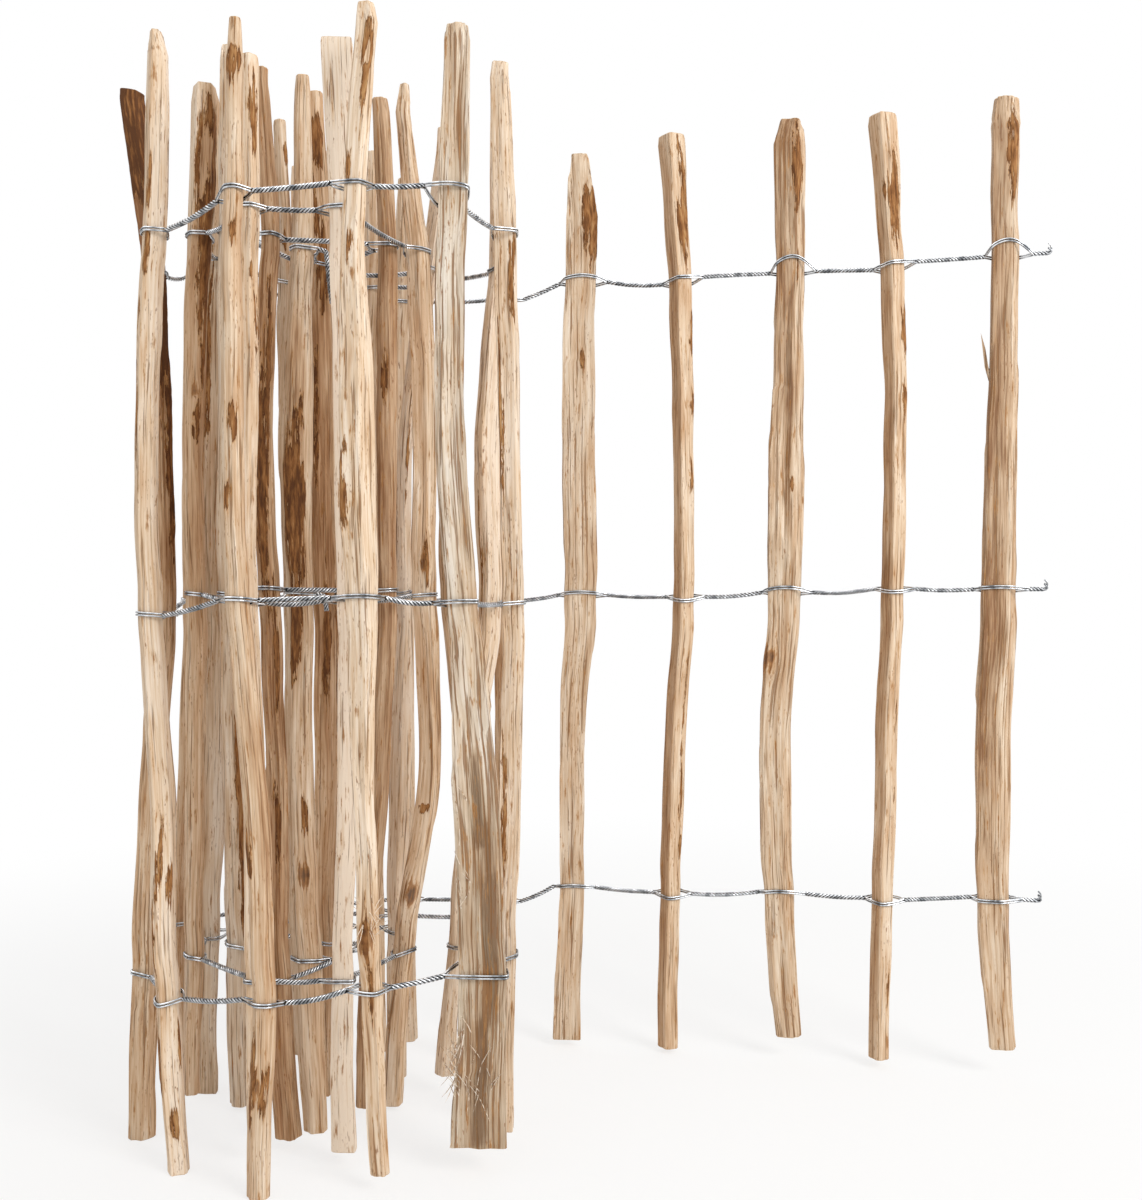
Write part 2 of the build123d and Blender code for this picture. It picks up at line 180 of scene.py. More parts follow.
LOOKS = {
    "pale_01": Look(-0.1, 0.45, 1.5, (
        Bark(64, 842, 930, 6), Bark(50, 880, 925, 2.4), Tear(10, 700, 790, 6, 1.6),
        Fibres(-78, 660, 668, 2, 1, 62, 4.2, 0.12, 0.02), Tear(-30, 300, 420, 6, 1.2),
        # Painted shade on the left face and painted light on the right face, as a lamp on the right gives.
        Shade(-28, 200, 1000, 15, -0.32), Shade(56, 300, 1000, 7, 0.12))),
    "pale_02": Look(0.01, 0.2, 0.8, (
        Bark(26, 806, 895, 7), Bare(8, 862, 892, 2.4), Bark(-18, 842, 872, 2.2), Bark(62, 694, 748, 3.5),
        # Shade(-60, -60, 990, 9, -0.26) is painted shade on the narrow left face.
        Knot(52, 655, 5), Bark(58, 636, 672, 2), Shade(-60, -60, 990, 9, -0.26), Bark(48, 262, 282, 1.4),
        Bark(50, 60, 96, 1.6), Bark(54, 330, 372, 1.2))),
    "pale_03": Look(-0.04, 0.5, 1.8, (
        Bark(62, 842, 928, 6), Bark(48, 880, 920, 2), Bark(56, 770, 800, 1.6), Tear(-45, 668, 830, 9, 2.6),
        Knot(-58, 398, 10), Tear(15, 520, 740, 5, 1.8), Tear(-10, 590, 740, 4, 1.6),
        # Painted shade on the left face.
        Shade(-26, 640, 1010, 15, -0.36),
        # The narrow dark Shade marks are painted shade in grooves of the torn wood.
        Shade(-78, 150, 380, 3, -0.5), Bark(44, 566, 580, 2.4), Shade(10, 470, 740, 1.6, -0.4),
        Shade(24, 520, 700, 1.4, -0.4))),
    "pale_04": Look(0.01, 0.2, 0.8, (
        Bark(24, 800, 915, 7.5), Bare(6, 852, 915, 3.5), Bare(26, 880, 915, 2), Bark(62, 690, 748, 3),
        Knot(40, 656, 5), Bark(56, 636, 676, 2), Bark(40, 330, 392, 1.2), Bark(40, 240, 300, 1.2),
        # Shade(-60, -60, 990, 9, -0.26) is painted shade on the narrow left face.
        Shade(-60, -60, 990, 9, -0.26), Bark(50, 200, 222, 1.6), Bark(46, 560, 600, 1.6))),
    "pale_05": Look(0.02, 0.5, 1.5, (
        Bark(60, 806, 884, 7), Tear(-30, 704, 800, 11, 2.6), Tear(28, 716, 830, 6, 1.8),
        Tear(18, 560, 712, 3, 1.6), Bark(22, 690, 716, 2.5), Shade(-5, 800, 916, 12, -0.15))),
    "pale_06": Look(-0.1, 0.2, 1.0, (Bark(160, 500, 700, 6), Knot(20, 330, 8))),
    "pale_07": Look(0.1, 0.1, 1.0, (Bark(-150, 250, 480, 6),)),
    "pale_08": Look(0.0, 0.3, 1.3, (Bark(170, 620, 840, 7), Tear(10, 300, 420, 6, 1.5))),
    "pale_09": Look(-0.1, 0.1, 1.0, (Bark(150, 120, 400, 6), Knot(-20, 560, 7))),
    "pale_10": Look(-0.05, 0.1, 1.2, (
        Bark(0, 660, 1300, 60), Bark(20, 640, 800, 12), Bare(-60, 760, 830, 4), Bark(58, 500, 690, 5),
        Tear(-10, 110, 190, 12, 2.0), Shade(30, 440, 760, 16, -0.3), Shade(0, 640, 1200, 60, -0.55))),
    "pale_11": Look(0.22, 0.0, 0.9, (
        Bark(-40, 768, 818, 2.4), Bark(-50, 776, 800, 2.4), Bark(-38, 722, 768, 2.6),
        Bark(-30, 730, 752, 1.8),
        Bark(-66, 684, 708, 2.4), Bark(-70, 560, 660, 2.6), Bark(-10, 256, 284, 2.4),
        Bark(-24, 226, 262, 2.6),
        Bark(-36, 218, 240, 2), Bark(24, 206, 240, 2.2), Bark(34, 220, 250, 1.6), Bark(-60, 146, 230, 2.8),
        Bark(-66, 60, 124, 2.6), Bark(-12, 30, 52, 2.6), Bark(6, 36, 58, 2.2), Bark(-2, 28, 44, 3),
        Bark(45, 86, 120, 2), Shade(-60, -60, 990, 7, -0.12))),
    "pale_12": Look(-0.05, 0.3, 0.8, (
        Bark(-20, 850, 877, 2), Bark(-52, 858, 878, 2.2), Bark(20, 858, 880, 2), Bark(-14, 871, 880, 3.6),
        Bark(6, 731, 750, 1.9), Bark(-6, 738, 748, 1.7), Bark(0, 586, 612, 2.2), Bark(14, 580, 600, 2),
        Bark(6, 588, 598, 3.4), Bark(-32, 520, 548, 2), Bark(-22, 530, 552, 1.8), Bark(-52, 246, 280, 2.6),
        Bark(-60, 252, 270, 2.4), Bark(-66, 52, 126, 3.6), Bark(-46, 88, 110, 2.6), Knot(-30, 88, 5),
        Bark(6, 66, 100, 2), Bark(16, 58, 84, 1.8), Bark(32, 80, 108, 2.2), Shade(50, 120, 520, 9, -0.14))),
    "pale_13": Look(0.16, 0.18, 1.0, (
        Bark(18, 852, 906, 4.6), Bark(10, 826, 880, 2), Bare(22, 868, 886, 1.5), Bark(-60, 778, 802, 2.2),
        Bark(-26, 714, 744, 2.2), Bark(-14, 722, 742, 1.8), Bark(-70, 508, 568, 3.6), Bark(-56, 520, 556, 2),
        Bark(-50, 568, 584, 1.6), Knot(-14, 196, 10), Bark(-16, 150, 222, 3), Bark(-6, 130, 190, 1.8),
        Fibres(-14, 196, 232, 9, 22, 15, 0.8, 0.6, 0.7), Shade(20, 15, 260, 14, -0.18))),
    "pale_14": Look(0.1, 0.9, 2.3, (
        Fibres(-62, 62, 124, 5, 30, 24, 0.9, 0.45, 0.5), Fibres(4, 58, 96, 9, 16, 22, 0.9, 0.3, 0.7),
        Fibres(-50, 190, 300, 5, 10, 20, 0.7, 0.4, 0.4), Tear(14, 92, 200, 4, 1.6),
        Tear(-20, 70, 180, 4, 2.2),
        Tear(34, 150, 330, 3, 2.4), Tear(-46, 84, 130, 5, 2.0), Tear(30, 700, 905, 4, 1.4),
        # The narrow dark Shade marks, 1.3 to 2 millimetres half wide, are painted shade in grooves of the torn
        # wood.
        Shade(28, 110, 250, 2, -0.75), Shade(36, 150, 290, 1.6, -0.5), Shade(-18, 24, 140, 1.7, -0.75),
        Shade(-10, 20, 130, 1.3, -0.6), Shade(8, 250, 330, 2, -0.6), Shade(-6, 260, 340, 1.4, -0.6),
        Shade(-60, 20, 420, 7, 0.1), Shade(56, 20, 420, 9, 0.12), Shade(-5, -140, 330, 60, -0.36),
        Bark(12, 878, 898, 1.5), Shade(30, 760, 890, 1.4, -0.4), Shade(10, 560, 690, 1.3, -0.4),
        Shade(-24, 420, 560, 1.3, -0.4))),
    "pale_15": Look(0.2, 0.1, 1.3, (
        Tear(-35, 420, 620, 4, 1.4), Bark(-40, 180, 330, 2.2), Bark(-44, 520, 690, 1.6),
        Bark(30, 700, 780, 2))),
    "pale_16": Look(0.25, 0.0, 1.0, (
        Bark(60, 820, 880, 4), Bark(-66, 430, 560, 2), Tear(10, 140, 260, 5, 1.4))),
    "pale_17": Look(0.0, 0.2, 1.0, (Bark(150, 300, 560, 6),)),
    "pale_18": Look(0.1, 0.1, 1.0, (Bark(-160, 500, 760, 6), Knot(10, 420, 7))),
    "pale_19": Look(0.0, 0.3, 1.2, (Bark(50, 880, 905, 2), Bark(-20, 800, 816, 2))),
    "pale_20": Look(-0.05, 0.4, 1.1, (Shade(40, 26, 420, 10, 0.3), Bark(-60, 600, 760, 3))),
    "pale_21": Look(0.0, 0.0, 1.0, (
        Bark(28, 770, 892, 13), Bark(30, 800, 884, 12), Bare(16, 806, 868, 5), Shade(16, 790, 880, 7, -0.3),
        Bark(46, 690, 830, 7), Bark(54, 620, 760, 3), Bark(20, 596, 632, 3), Knot(4, 640, 6),
        Knot(16, 616, 5),
        Shade(14, 420, 800, 18, -0.16), Shade(-60, 780, 980, 8, 0.25))),
    "pale_22": Look(0.14, 0.0, 0.9, (Bark(36, 818, 880, 3.4), Bark(20, 716, 730, 2), Bark(50, 640, 700, 2))),
    "pale_23": Look(0.42, 0.05, 0.4, (Bark(60, 620, 700, 2),)),
    "pale_24": Look(0.0, 0.2, 1.3, (
        Knot(0, 198, 9), Bark(-10, 268, 276, 6), Knot(10, 492, 7), Bark(20, 470, 520, 2),
        Tear(20, 520, 700, 5, 1.8), Tear(-30, 560, 760, 4, 1.4))),
    "pale_25": Look(0.3, 0.0, 0.9, (Bark(10, 560, 640, 1.4), Tear(10, 470, 640, 4, 1.6))),
    "pale_26": Look(-0.1, 0.1, 1.0, (Bark(0, 300, 520, 5),)),
    "pale_27": Look(0.12, 0.35, 1.2, (Bark(56, 140, 420, 6), Bark(10, 800, 830, 1.6), Bark(20, 700, 740, 2))),
    "pale_28": Look(-0.3, 0.2, 1.4, (
        Bark(-20, 450, 660, 6), Bark(-34, 500, 600, 3), Bark(20, 560, 720, 3), Bark(30, 360, 470, 3),
        Bark(0, 230, 300, 3))),
    "pale_29": Look(-0.3, 0.3, 1.1, (Bark(-10, 632, 680, 4), Shade(0, 400, 700, 12, -0.1))),
    "pale_30": Look(-0.08, 0.0, 1.2, (
        Bark(-4, 860, 902, 7), Bark(14, 850, 884, 3), Bark(-34, 790, 858, 2.6), Bark(8, 724, 806, 5),
        Bark(-16, 740, 780, 3), Shade(0, 300, 760, 14, -0.24), Bark(20, 360, 480, 4),
        Bark(-40, 560, 690, 3))),
    "pale_31": Look(0.0, 0.25, 1.0, (
        Bark(-22, 464, 616, 11), Bark(-30, 390, 470, 5), Bark(14, 590, 640, 2.5),
        Shade(-20, 380, 720, 12, -0.3), Knot(10, 222, 7), Bark(16, 250, 290, 3))),
}


# Shapes of the pales

def corner_rings(mesh):
    """A pale's corners in millimetres, as an array of its rings from foot to head."""
    places = sorted({tuple(round(c / MM, 3) for c in v.co) for v in mesh.vertices}, key=lambda p: p[2])
    per_ring = len(places) // RINGS
    rings = []
    for k in range(RINGS):
        ring = np.array(places[k * per_ring:(k + 1) * per_ring])
        arms = ring[:, :2] - ring[:, :2].mean(0)
        order = np.argsort(np.arctan2(arms[:, 1], arms[:, 0]))
        ring, arms = ring[order], arms[order]
        if rings:
            before = rings[-1][:, :2] - rings[-1][:, :2].mean(0)
            turn = min(range(per_ring), key=lambda t: np.abs(np.roll(arms, t, 0) - before).sum())
            ring = np.roll(ring, turn, 0)
        rings.append(ring)
    return np.array(rings)


def bent_through(heights, rings, rows):
    """Corner positions at each row's height, on smooth curves through the rings."""
    slopes = np.gradient(rings, heights, axis=0)
    upper = np.clip(np.searchsorted(heights, rows), 1, len(heights) - 1)
    span = (heights[upper] - heights[upper - 1])[:, None, None]
    t = ((rows - heights[upper - 1]) / span[:, 0, 0])[:, None, None]
    below, above = rings[upper - 1], rings[upper]
    rise, fall = slopes[upper - 1] * span, slopes[upper] * span
    return (below * (1 + 2 * t) * (1 - t) ** 2 + rise * t * (1 - t) ** 2
            + above * t * t * (3 - 2 * t) - fall * t * t * (1 - t))


def side_weights(corners, per_side):
    """How each point round the section mixes the corners, and how near it is to one."""
    weights, nearness = [], []
    for corner in range(corners):
        for step in range(per_side):
            t = step / per_side
            t -= CROWDING * math.sin(2 * math.pi * t)
            row = np.zeros(corners)
            row[corner] += 1 - t
            row[(corner + 1) % corners] += t
            weights.append(row)
            nearness.append({0: 1.0, 1: 0.2, per_side - 1: 0.2}.get(step, 0.0))
    return np.array(weights), np.array(nearness)


def grain_noise(places, across, along, offset=0.0):
    """Noise from -1 to 1 at each place, drawn out along the grain. Offsets give other noises."""
    shape = places.shape[:-1]
    stretched = (places.reshape(-1, 3) + offset) / (across, across, along)
    return np.array([noise.noise(p) for p in stretched.tolist()]).reshape(shape)


def inside(mark, arc, z, pointed=3.0):
    """1 in the middle of a mark, 0 at its edge and less outside. A low power ends in a point."""
    middle, tall = (mark.low + mark.high) / 2, (mark.high - mark.low) / 2
    return 1 - (arc / mark.half) ** 2 - np.abs((z - middle) / tall) ** pointed


def soft_step(value, start, end):
    """0 below start, 1 above end and smooth between."""
    t = np.clip((value - start) / (end - start), 0, 1)
    return t * t * (3 - 2 * t)


@dataclass
class Skin:
    """A pale's surface while it is worked: one row of points per height."""
    points: np.ndarray  # x, y and z in millimetres
    local: np.ndarray  # the same, with x and y from the pale's middle line
    outward: np.ndarray  # unit vectors away from the middle line
    bearing: np.ndarray  # degrees from the side that faces the camera
    radius: np.ndarray  # distance from the middle line

    def arc(self, mark):
        """Distance round the pale from a mark's bearing."""
        turn = (self.bearing - mark.bearing + 180) % 360 - 180
        return np.radians(turn) * self.radius


def pale_skin(rings, settings):
    """The pale's surface before it is torn and marked."""
    corners = rings.shape[1]
    waist = rings[WIRE_RINGS["middle"]]
    girth = np.linalg.norm(np.roll(waist, -1, 0) - waist, axis=1).sum()
    per_side = max(6, round(girth / corners / (settings.column / MM)))
    weights, nearness = side_weights(corners, per_side)
    heights = rings[:, 0, 2].copy()
    foot, shoulder = heights[0] + settings.edge / MM, heights[SHOULDER]
    rows = np.linspace(foot, shoulder, int((shoulder - foot) / (settings.row / MM)) + 2)
    body = bent_through(heights[:SHOULDER + 1], rings[:SHOULDER + 1], rows)
    body[:, :, 2] = rows[:, None]
    head_rows = max(4, int((rings[-1][:, 2].mean() - shoulder) / HEAD_ROW))
    shares = np.linspace(0, 1, head_rows + 1)[1:]
    head = [rings[SHOULDER] + (rings[-1] - rings[SHOULDER]) * share for share in shares]
    outline = np.concatenate([body, np.array(head)])
    outline[-1, :, 2] -= settings.edge / MM
    points = np.einsum("pc,rcx->rpx", weights, outline)
    middle = points.mean(1, keepdims=True)
    middle[:, :, 2] = 0
    local = points - middle
    arms = local[:, :, :2]
    radius = np.linalg.norm(arms, axis=2)
    outward = arms / radius[:, :, None]
    points[:, :, :2] -= outward * (nearness * settings.rounding / MM)[None, :, None]
    eye = np.array(EYE[:2]) / MM - middle[:, :, :2].mean((0, 1))
    facing = math.degrees(math.atan2(eye[1], eye[0]))
    bearing = np.degrees(np.arctan2(outward[:, :, 1], outward[:, :, 0])) - facing
    return Skin(points, local, outward, (bearing + 180) % 360 - 180, radius)


def worked(skin, look, wire_heights, settings):
    """Tears, knots, bark and bends, added to the skin. Returns the masks that colour it."""
    z = skin.points[:, :, 2]
    clear = np.ones_like(z)
    for height in wire_heights:
        clear = np.minimum(clear, soft_step(np.abs(z - height), HELD, WORKED))
    strength = 0.3 + 0.7 * clear
    masks = {"bark": np.full_like(z, -1.0), "knot": np.zeros_like(z), "shade": np.full_like(z, look.tone)}
    ridges = grain_noise(skin.local, *RIDGES) + 0.5 * grain_noise(skin.local, *FINE_RIDGES)
    ledges = soft_step(grain_noise(skin.local, *LEDGES, 31.0), 0.1, 0.17)
    swell = grain_noise(skin.local, *SWELLING, 57.0)
    push = (settings.ridges * ridges * look.ridged + settings.tears * (ledges - 0.4) * look.ridged
            + settings.swell * swell) / MM * strength
    for mark in look.marks:
        arc = skin.arc(mark)
        if isinstance(mark, Bark):
            weight = min(1, 0.3 + mark.half / 7)
            masks["bark"] = np.maximum(masks["bark"], inside(mark, arc, z, 1.6) * weight)
        elif isinstance(mark, Bare):
            masks["bark"] = np.minimum(masks["bark"], -inside(mark, arc, z))
        # Shade marks add the wood's tone, and painted shade and painted light, to the shade mask.
        elif isinstance(mark, Shade):
            masks["shade"] = masks["shade"] + mark.amount * soft_step(inside(mark, arc, z), -0.3, 0.6)
        elif isinstance(mark, Knot):
            away = np.hypot(arc, (z - mark.height) / 1.9) / mark.radius
            masks["knot"] = np.maximum(masks["knot"], np.clip(1 - away, 0, 1))
            mound = 2.0 * np.exp(-2.2 * away ** 2) - 1.3 * np.exp(-14 * away ** 2)
            push += clear * mound * mark.radius / HALF_WIDTH
            # The grain bends round a knot
            along_side = skin.outward[:, :, ::-1] * (-1, 1)
            skin.local[:, :, :2] -= along_side * (0.75 * arc * np.exp(-0.8 * away ** 2))[:, :, None]
        elif isinstance(mark, Tear):
            run = np.clip((z - mark.step) / (mark.fade - mark.step), -1, 1)
            gone = np.where(run < 0, 0, 1 - run) * soft_step(1 - (arc / mark.half) ** 2, 0, 0.35)
            push -= clear * mark.depth * gone
    masks["bark"] = np.clip(0.5 + 0.5 * masks["bark"], 0, 1)
    rough = grain_noise(skin.local, *CRUST, 11.0)
    ragged = masks["bark"] + 0.12 * grain_noise(skin.local, *BARK_EDGE, 83.0)
    push += soft_step(ragged, 0.42, 0.56) * (settings.bark / MM + 0.3 * rough) * strength
    middle = z[:, :1]
    sway = np.stack([grain_noise(np.stack([0 * middle, 0 * middle + lane, middle], -1), *SWAYING, 7.0)
                     for lane in (0, 400)], -1)
    skin.points[:, :, :2] += skin.outward * push[:, :, None]
    skin.points[:, :, :2] += sway * clear[:, :1, None] * settings.sway / MM
    return masks


def fibre(root, outward, along, length, width, lean):
    """A thin splinter that stands off the wood, as three rings of three places and a tip."""
    side = np.cross(outward, along)
    rings = []
    for share in FIBRE_SHARES:
        sunk = width * (0.2 if share else 1.2)
        middle = root + along * length * share + outward * (length * lean * share ** 1.6 - sunk)
        thick = width * (1 - 0.6 * share)
        rings += [middle + side * thick / 2, middle - side * thick / 2, middle + outward * thick]
    return rings + [root + along * length + outward * length * lean]


FIBRE_FACES = [(a + r, b + r, b + r + 3, a + r + 3) for r in (0, 3) for a, b in ((0, 1), (1, 2), (2, 0))]
FIBRE_FACES += [(6, 7, 9), (7, 8, 9), (8, 6, 9)]


@dataclass
class Surface:
    """A pale's points, what each tells the material, and the faces between them."""
    places: np.ndarray
    grain: np.ndarray  # place in the wood, in millimetres from the pith
    values: np.ndarray  # how much each is bark, knot, shade and end grain
    faces: list

    def join(self, places, grain, values, faces):
        """Adds points, and the faces that reach them."""
        self.places = np.vstack([self.places, places])
        self.grain = np.vstack([self.grain, grain])
        self.values = np.vstack([self.values, values])
        self.faces += faces


def wrap(skin, masks):
    """The skin's rows of points, joined to the pale's open sides."""
    rows, count = skin.radius.shape
    values = np.stack([masks["bark"], masks["knot"], masks["shade"], 0 * masks["bark"]], -1)
    faces = []
    for first in range(0, (rows - 1) * count, count):
        for j in range(count):
            a, b = first + j, first + (j + 1) % count
            faces.append((a, b, b + count, a + count))
    return Surface(*(a.reshape(rows * count, -1) for a in (skin.points, skin.local, values)), faces)


def close_end(surface, edge, lift, settings):
    """The sawn foot or the trimmed head: rings that step in across the end grain."""
    places, grain, values = surface.places[edge], surface.grain[edge], surface.values[edge]
    middle, core = places.mean(0), grain.mean(0)
    worn = settings.edge / MM
    rim = edge
    for share in (1 - 0.9 * worn / HALF_WIDTH, 0.55, 0.0):
        count = len(edge) if share else 1
        first = len(surface.places)
        ring = middle + (places[:count] - middle) * share
        ring[:, 2] += lift * worn
        ends = values[:count] * (share, 1, 1, 1)
        ends[:, 3] = 1.0
        faces = []
        for j, a in enumerate(rim):
            k = (j + 1) % len(rim)
            face = (a, rim[k], first + k, first + j) if share else (a, rim[k], first)
            faces.append(face if lift > 0 else face[::-1])
        surface.join(ring, core + (grain[:count] - core) * share, ends, faces)
        rim = range(first, first + count)


def add_fibres(surface, skin, mark, tone, drawn):
    """Loose fibres at places drawn at random inside a mark."""
    z = skin.points[:, :, 2]
    spots = np.argwhere((np.abs(skin.arc(mark)) <= mark.half) & (z >= mark.low) & (z <= mark.high))
    for _ in range(mark.count):
        spot = tuple(spots[drawn.randrange(len(spots))])
        root, outward = skin.points[spot], np.array([*skin.outward[spot], 0.0])
        stray = [drawn.uniform(-1, 1) * mark.stray for _ in range(2)]
        up = drawn.choice((1, 1, -1)) if mark.stray > 0.1 else 1
        along = np.array([*stray, up])
        along /= np.linalg.norm(along)
        length = mark.length * drawn.uniform(0.6, 1.1)
        sliver = fibre(root, outward, along, length, mark.width, mark.lean * drawn.uniform(0.6, 1.4))
        first = len(surface.places)
        faces = [tuple(first + i for i in face) for face in FIBRE_FACES]
        grain = np.array(sliver) - root + skin.local[spot]
        surface.join(sliver, grain, [(0, 0, tone + FRESH, 0)] * len(sliver), faces)


def pale_mesh(name, surface, look, material):
    """A surface as a mesh, with what each point tells the material."""
    mesh = bpy.data.meshes.new(name)
    mesh.from_pydata((surface.places * MM).tolist(), [], [tuple(map(int, face)) for face in surface.faces])
    mesh.shade_smooth()
    mesh.set_sharp_from_angle(angle=math.radians(SHARP))
    grain = mesh.attributes.new("grain", "FLOAT_VECTOR", "POINT")
    grain.data.foreach_set("vector", surface.grain.astype(np.float32).ravel())
    whole = np.ones(len(surface.places))
    told = dict(zip(("bark", "knot", "shade", "end"), surface.values.T))
    told |= {"weathered": look.grey * whole, "fibrous": (look.ridged - 1) * whole}
    for key, column in told.items():
        mesh.attributes.new(key, "FLOAT", "POINT").data.foreach_set("value", column.astype(np.float32))
    mesh.materials.append(material)
    return mesh


def make_pale(node, look, number, settings, material):
    """One split rod in place of its CAD node."""
    rings = corner_rings(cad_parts[node].data)
    skin = pale_skin(rings, settings)
    drawn = random.Random(number)
    skin.local[:, :, 2] += APART * number
    masks = worked(skin, look, [rings[k][0, 2] for k in WIRE_RINGS.values()], settings)
    turn, pith = drawn.uniform(0, 2 * math.pi), drawn.uniform(12, 22)
    skin.local[:, :, :2] += (pith * math.cos(turn), pith * math.sin(turn))

    surface = wrap(skin, masks)
    rows, count = skin.radius.shape
    close_end(surface, np.arange(count), -1, settings)
    close_end(surface, np.arange((rows - 1) * count, rows * count), 1, settings)
    for mark in look.marks:
        if isinstance(mark, Fibres):
            add_fibres(surface, skin, mark, look.tone, drawn)

    name = f"cleft_{node}"
    pale = bpy.data.objects.new(name, pale_mesh(name, surface, look, material))
    bpy.context.scene.collection.objects.link(pale)
    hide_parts(node)
    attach(pale, "root")


# Shapes of the wires

def unit(v):
    """A vector's direction, as a vector of length 1."""
    return v / np.linalg.norm(v)


def taut_round(section, start, end, gap):
    """The way of a taut wire from start to end on the right and on the left of a pale."""
    turns = [(math.cos(a), math.sin(a)) for a in np.linspace(0, 2 * math.pi, 16, endpoint=False)]
    points = [tuple(c + gap * np.array(t)) for c in section for t in turns]
    points += [tuple(start), tuple(end)]
    loop = [points[i] for i in geometry.convex_hull_2d([Vector(p) for p in points])]
    area = sum(a[0] * b[1] - b[0] * a[1] for a, b in zip(loop, loop[1:] + loop[:1]))
    if area < 0:
        loop.reverse()
    first = loop.index(tuple(start))
    loop = loop[first:] + loop[:first]
    cut = loop.index(tuple(end))
    return np.array(loop[1:cut]), np.array(loop[cut + 1:][::-1])


def evenly(path):
    """The same path with its places at even distances, and its bends eased."""
    path = np.array(path)
    run = np.concatenate([[0.0], np.linalg.norm(np.diff(path, axis=0), axis=1).cumsum()])
    places = np.linspace(0, run[-1], int(run[-1] / WIRE_STEP) + 2)
    way = np.stack([np.interp(places, run, column) for column in path.T], -1)
    for _ in range(EASINGS):
        way[1:-1] = (way[:-2] + 2 * way[1:-1] + way[2:]) / 4
    return way


def rope(start, stop, turns, radius, bow=(0, 0, 0)):
    """Four wires twisted round one line, as arrays of places."""
    along = stop - start
    side = unit(np.array([-along[1], along[0], 0.0]))
    up = unit(np.cross(along, side))
    steps = np.linspace(0, 1, max(3, int(abs(turns) * STEPS_PER_TURN)) + 1)
    middle = start + along * steps[:, None] + np.array(bow) * np.sin(math.pi * steps)[:, None]
    wires = []
    for bearing in AROUND:
        angle = math.radians(bearing) + 2 * math.pi * turns * steps
        wires.append(middle + radius * (np.cos(angle)[:, None] * side + np.sin(angle)[:, None] * up))
    return wires


@dataclass
class Pass:
    """How wires pass a pale: their rise over the side in view and over the other, and their drop
    on the way."""
    front: float = 1.5
    back: float = -1.5
    drop: float = 0.0


PASSES = {
    "low": {
        "pale_01": Pass(-1.5, 1), "pale_02": Pass(-3, 1.5), "pale_03": Pass(3, -1), "pale_04": Pass(-3, 1.5),
        "pale_05": Pass(2, -2), "pale_11": Pass(-5, 2), "pale_12": Pass(1, -3), "pale_13": Pass(-1.5, 3),
        "pale_14": Pass(-1, 6)},
    "middle": {
        "pale_01": Pass(2, -2), "pale_02": Pass(-3, 1.5), "pale_03": Pass(5, -2), "pale_04": Pass(-4, 1.5),
        "pale_05": Pass(3, -2)},
    "top": {
        "pale_01": Pass(13, -2), "pale_02": Pass(1, -3, 6), "pale_03": Pass(14, -1), "pale_04": Pass(1, -3, 6),
        "pale_05": Pass(6, -2), "pale_12": Pass(3, -3, -4), "pale_13": Pass(0, -3), "pale_14": Pass(6, -8, 9)},
}
TAIL_DROPS = {"low": 9, "middle": 12, "top": 46}  # how far each line hangs down inside the roll


def split_points(ring, before, after, crossing, gap):
    """Where the rope opens before a pale, and where it closes behind it."""
    middle = ring.mean(0)
    points = []
    for way, lead, share in ((-before, LEAD_IN, 0.5), (after, LEAD_OUT, -0.5)):
        reach = ((ring - middle)[:, :2] @ way).max() + gap + lead
        height = middle[2] - SLACK * crossing.front + share * crossing.drop
        points.append(np.array([*(middle[:2] + way * reach), height]))
    return points


def free_end(start, before, radius):
    """The twisted tail in front of the first pale, with its cut wires curled up."""
    out = -np.array([*before, 0.0])
    wires = []
    for run, rise in zip(rope(start + out * FREE_TAIL, start, 1, radius), CURL_RISES):
        curl = [run[0] + out * reach + (0, 0, rise * share) for reach, share in CURL]
        wires.append(np.vstack([curl, run]))
    return wires


def core_end(end, after, drop, radius, lay):
    """The twisted tail behind the last pale, which bends and hangs down inside the roll."""
    bend = end + np.array([*after, -CORE_DIP]) * CORE_BEND
    hang = bend + np.array([*after * CORE_DRIFT, -1]) * drop
    stretches = rope(end, bend, 0.5, radius), rope(bend, hang, drop / lay, radius)
    return [np.vstack(runs) for runs in zip(*stretches)]


def past_pale(ring, start, end, before, after, crossing, front_is_left, gap, aside):
    """Four wires past one pale, two on either side of it."""
    right, left = taut_round(ring[:, :2], start[:2], end[:2], gap)
    wires = []
    for path, is_left, lift in ((left, True, 1), (left, True, -1), (right, False, 1), (right, False, -1)):
        beside = aside if is_left else -aside
        sides = [np.array([-way[1], way[0]]) * beside for way in (before, after)]
        way = evenly([start[:2] + sides[0], *path, end[:2] + sides[1]])
        share = np.linspace(0, 1, len(way))
        rise = crossing.front if is_left == front_is_left else crossing.back
        heights = start[2] + (end[2] - start[2]) * share + rise * np.sin(math.pi * share) + lift * aside
        wires.append(np.column_stack([way, heights]))
    return wires


